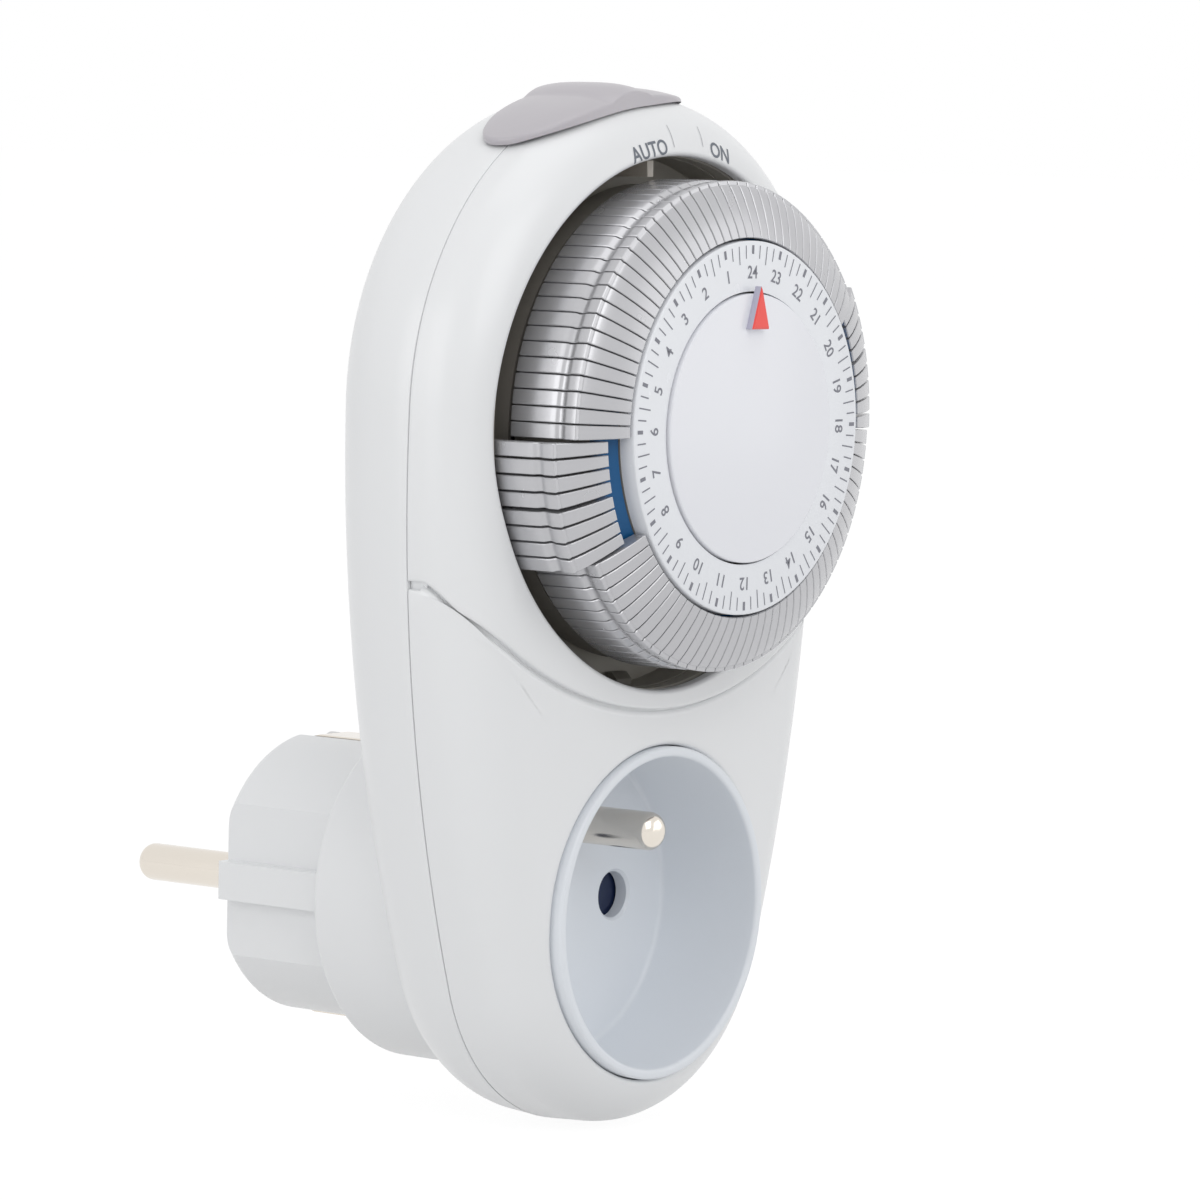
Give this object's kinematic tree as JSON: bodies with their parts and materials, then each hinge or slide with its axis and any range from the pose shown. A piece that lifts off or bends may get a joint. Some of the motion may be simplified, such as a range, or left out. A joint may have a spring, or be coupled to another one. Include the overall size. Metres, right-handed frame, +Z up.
{
  "type": "plug in timer switch",
  "caption": "Plug-in mains timer: a rotary segment dial with a slide override over a recessed round socket, on a round earthed plug.",
  "frame": {"origin": "on the plug's axis, at the plane of the plug face that the pins stand out of", "axes": "+Z up towards the dial, -Y out of the dial and the socket towards the user, +Y along the plug pins into the wall, +X to the user's right"},
  "size_m": [0.0764, 0.0902, 0.1293],
  "materials": {
    "housing_white": "satin moulded white",
    "recess_dark": "dark grey brown moulding",
    "screw_steel": "zinc plated",
    "inner_plastic": "natural moulding",
    "dial_white": "smooth off white",
    "pointer_coral": "coral red",
    "socket_white": "bluish white",
    "nickel": "nickel plated brass",
    "spring_steel": "drawn wire",
    "contact_brass": "stamped strip",
    "motor_steel": "drawn can",
    "drum_grey": "dark grey",
    "ring_blue": "signal blue",
    "cap_grey": "grey mauve satin",
    "carriage_white": "white moulding",
    "shutter_navy": "dark blue",
    "tab_grey": "satin grey"
  },
  "bodies": {
    "case": {"rear_housing": "housing_white", "dial_bezel": "housing_white", "socket_cover": "housing_white", "chassis_plate": "recess_dark", "case_screws": "screw_steel", "dial_post": "inner_plastic", "center_disc": "dial_white", "pointer": "pointer_coral", "socket_cup": "socket_white", "socket_earth_pin": "nickel", "shutter_spring": "spring_steel", "plug_body": "housing_white", "plug_pin_left": "nickel", "plug_pin_right": "nickel", "earth_clip_top": "nickel", "earth_clip_bottom": "nickel", "earth_strap": "contact_brass", "neutral_contact": "contact_brass", "live_contact": "contact_brass", "live_busbar": "contact_brass", "fixed_blade": "contact_brass", "plunger_spring": "spring_steel", "motor_can": "motor_steel", "gear_arbor": "spring_steel"},
    "dial": {"dial_drum": "drum_grey", "dial_face": "dial_white", "blue_ring": "ring_blue"},
    "reduction": {"reduction_gear": "inner_plastic"},
    "pinion": {"output_pinion": "contact_brass"},
    "override": {"override_cap": "cap_grey", "override_carriage": "carriage_white"},
    "shutter": {"shutter": "shutter_navy"},
    "plunger": {"switch_plunger": "inner_plastic", "moving_blade": "contact_brass"},
    "tabs_01": {"tabs_01": "tab_grey"},
    "tabs_02": {"tabs_02": "tab_grey"},
    "tabs_03": {"tabs_03": "tab_grey"},
    "tabs_04": {"tabs_04": "tab_grey"},
    "tabs_05": {"tabs_05": "tab_grey"},
    "tabs_06": {"tabs_06": "tab_grey"},
    "tabs_07": {"tabs_07": "tab_grey"},
    "tabs_08": {"tabs_08": "tab_grey"},
    "tabs_09": {"tabs_09": "tab_grey"},
    "tabs_10": {"tabs_10": "tab_grey"},
    "tabs_11": {"tabs_11": "tab_grey"},
    "tabs_12": {"tabs_12": "tab_grey"},
    "tabs_13": {"tabs_13": "tab_grey"},
    "tabs_14": {"tabs_14": "tab_grey"},
    "tabs_15": {"tabs_15": "tab_grey"},
    "tabs_16": {"tabs_16": "tab_grey"},
    "tabs_17": {"tabs_17": "tab_grey"},
    "tabs_18": {"tabs_18": "tab_grey"},
    "tabs_19": {"tabs_19": "tab_grey"},
    "tabs_20": {"tabs_20": "tab_grey"},
    "tabs_21": {"tabs_21": "tab_grey"},
    "tabs_22": {"tabs_22": "tab_grey"},
    "tabs_23": {"tabs_23": "tab_grey"},
    "tabs_24": {"tabs_24": "tab_grey"},
    "tab_18_00": {"tab_18_00": "tab_grey"}
  },
  "joints": [
    {"name": "dial_turn", "type": "hinge", "parent": "case", "child": "dial", "pos_m": [0, 0, 0.0606], "axis": [0, 1, 0], "continuous": true},
    {"name": "reduction_turn", "type": "hinge", "parent": "case", "child": "reduction", "pos_m": [-0.01973, 0, 0.05342], "axis": [0, 1, 0], "continuous": true},
    {"name": "pinion_turn", "type": "hinge", "parent": "case", "child": "pinion", "pos_m": [-0.01273, 0, 0.04129], "axis": [0, 1, 0], "continuous": true},
    {"name": "override_slide", "type": "hinge", "parent": "case", "child": "override", "pos_m": [0, 0, 0.0606], "axis": [0, 1, 0], "range_deg": [0, 10.4]},
    {"name": "shutter_slide", "type": "slide", "parent": "case", "child": "shutter", "axis": [0, 0, -1], "range_m": [0, 0.0068], "stiffness_N_per_m": 40, "springref_m": -0.001, "deforming": ["shutter_spring"]},
    {"name": "plunger_press", "type": "slide", "parent": "case", "child": "plunger", "axis": [0, 0, -1], "range_m": [0, 0.0012], "stiffness_N_per_m": 80, "springref_m": -0.0005, "deforming": ["plunger_spring"]},
    {"name": "tabs_01_slide", "type": "slide", "parent": "dial", "child": "tabs_01", "axis": [-0.1411, 0.5, 0.8545], "range_m": [0, 0.0028]},
    {"name": "tabs_02_slide", "type": "slide", "parent": "dial", "child": "tabs_02", "axis": [-0.3574, 0.5, 0.7888], "range_m": [0, 0.0028]},
    {"name": "tabs_03_slide", "type": "slide", "parent": "dial", "child": "tabs_03", "axis": [-0.5494, 0.5, 0.6694], "range_m": [0, 0.0028]},
    {"name": "tabs_04_slide", "type": "slide", "parent": "dial", "child": "tabs_04", "axis": [-0.7039, 0.5, 0.5044], "range_m": [0, 0.0028]},
    {"name": "tabs_05_slide", "type": "slide", "parent": "dial", "child": "tabs_05", "axis": [-0.8105, 0.5, 0.3051], "range_m": [0, 0.0028]},
    {"name": "tabs_06_slide", "type": "slide", "parent": "dial", "child": "tabs_06", "axis": [-0.8619, 0.5, 0.0849], "range_m": [0, 0.0028]},
    {"name": "tabs_07_slide", "type": "slide", "parent": "dial", "child": "tabs_07", "axis": [-0.8545, 0.5, -0.1411], "range_m": [-0.0028, 0]},
    {"name": "tabs_08_slide", "type": "slide", "parent": "dial", "child": "tabs_08", "axis": [-0.7888, 0.5, -0.3574], "range_m": [-0.0028, 0]},
    {"name": "tabs_09_slide", "type": "slide", "parent": "dial", "child": "tabs_09", "axis": [-0.6694, 0.5, -0.5494], "range_m": [0, 0.0028]},
    {"name": "tabs_10_slide", "type": "slide", "parent": "dial", "child": "tabs_10", "axis": [-0.5044, 0.5, -0.7039], "range_m": [0, 0.0028]},
    {"name": "tabs_11_slide", "type": "slide", "parent": "dial", "child": "tabs_11", "axis": [-0.3051, 0.5, -0.8105], "range_m": [0, 0.0028]},
    {"name": "tabs_12_slide", "type": "slide", "parent": "dial", "child": "tabs_12", "axis": [-0.0849, 0.5, -0.8619], "range_m": [0, 0.0028]},
    {"name": "tabs_13_slide", "type": "slide", "parent": "dial", "child": "tabs_13", "axis": [0.1411, 0.5, -0.8545], "range_m": [0, 0.0028]},
    {"name": "tabs_14_slide", "type": "slide", "parent": "dial", "child": "tabs_14", "axis": [0.3574, 0.5, -0.7888], "range_m": [0, 0.0028]},
    {"name": "tabs_15_slide", "type": "slide", "parent": "dial", "child": "tabs_15", "axis": [0.5494, 0.5, -0.6694], "range_m": [0, 0.0028]},
    {"name": "tabs_16_slide", "type": "slide", "parent": "dial", "child": "tabs_16", "axis": [0.7039, 0.5, -0.5044], "range_m": [0, 0.0028]},
    {"name": "tabs_17_slide", "type": "slide", "parent": "dial", "child": "tabs_17", "axis": [0.8105, 0.5, -0.3051], "range_m": [0, 0.0028]},
    {"name": "tabs_18_slide", "type": "slide", "parent": "dial", "child": "tabs_18", "axis": [0.8586, 0.5, -0.113], "range_m": [0, 0.0028]},
    {"name": "tabs_19_slide", "type": "slide", "parent": "dial", "child": "tabs_19", "axis": [0.8545, 0.5, 0.1411], "range_m": [-0.0028, 0]},
    {"name": "tabs_20_slide", "type": "slide", "parent": "dial", "child": "tabs_20", "axis": [0.7888, 0.5, 0.3574], "range_m": [-0.0028, 0]},
    {"name": "tabs_21_slide", "type": "slide", "parent": "dial", "child": "tabs_21", "axis": [0.6694, 0.5, 0.5494], "range_m": [0, 0.0028]},
    {"name": "tabs_22_slide", "type": "slide", "parent": "dial", "child": "tabs_22", "axis": [0.5044, 0.5, 0.7039], "range_m": [0, 0.0028]},
    {"name": "tabs_23_slide", "type": "slide", "parent": "dial", "child": "tabs_23", "axis": [0.3051, 0.5, 0.8105], "range_m": [0, 0.0028]},
    {"name": "tabs_24_slide", "type": "slide", "parent": "dial", "child": "tabs_24", "axis": [0.0849, 0.5, 0.8619], "range_m": [0, 0.0028]},
    {"name": "tab_18_00_slide", "type": "slide", "parent": "dial", "child": "tab_18_00", "axis": [0.866, 0.5, 0], "range_m": [-0.0028, 0]}
  ],
  "couplings": [
    {"joint": "reduction_turn", "follows": "dial_turn", "ratio": -6},
    {"joint": "pinion_turn", "follows": "dial_turn", "ratio": 36}
  ]
}
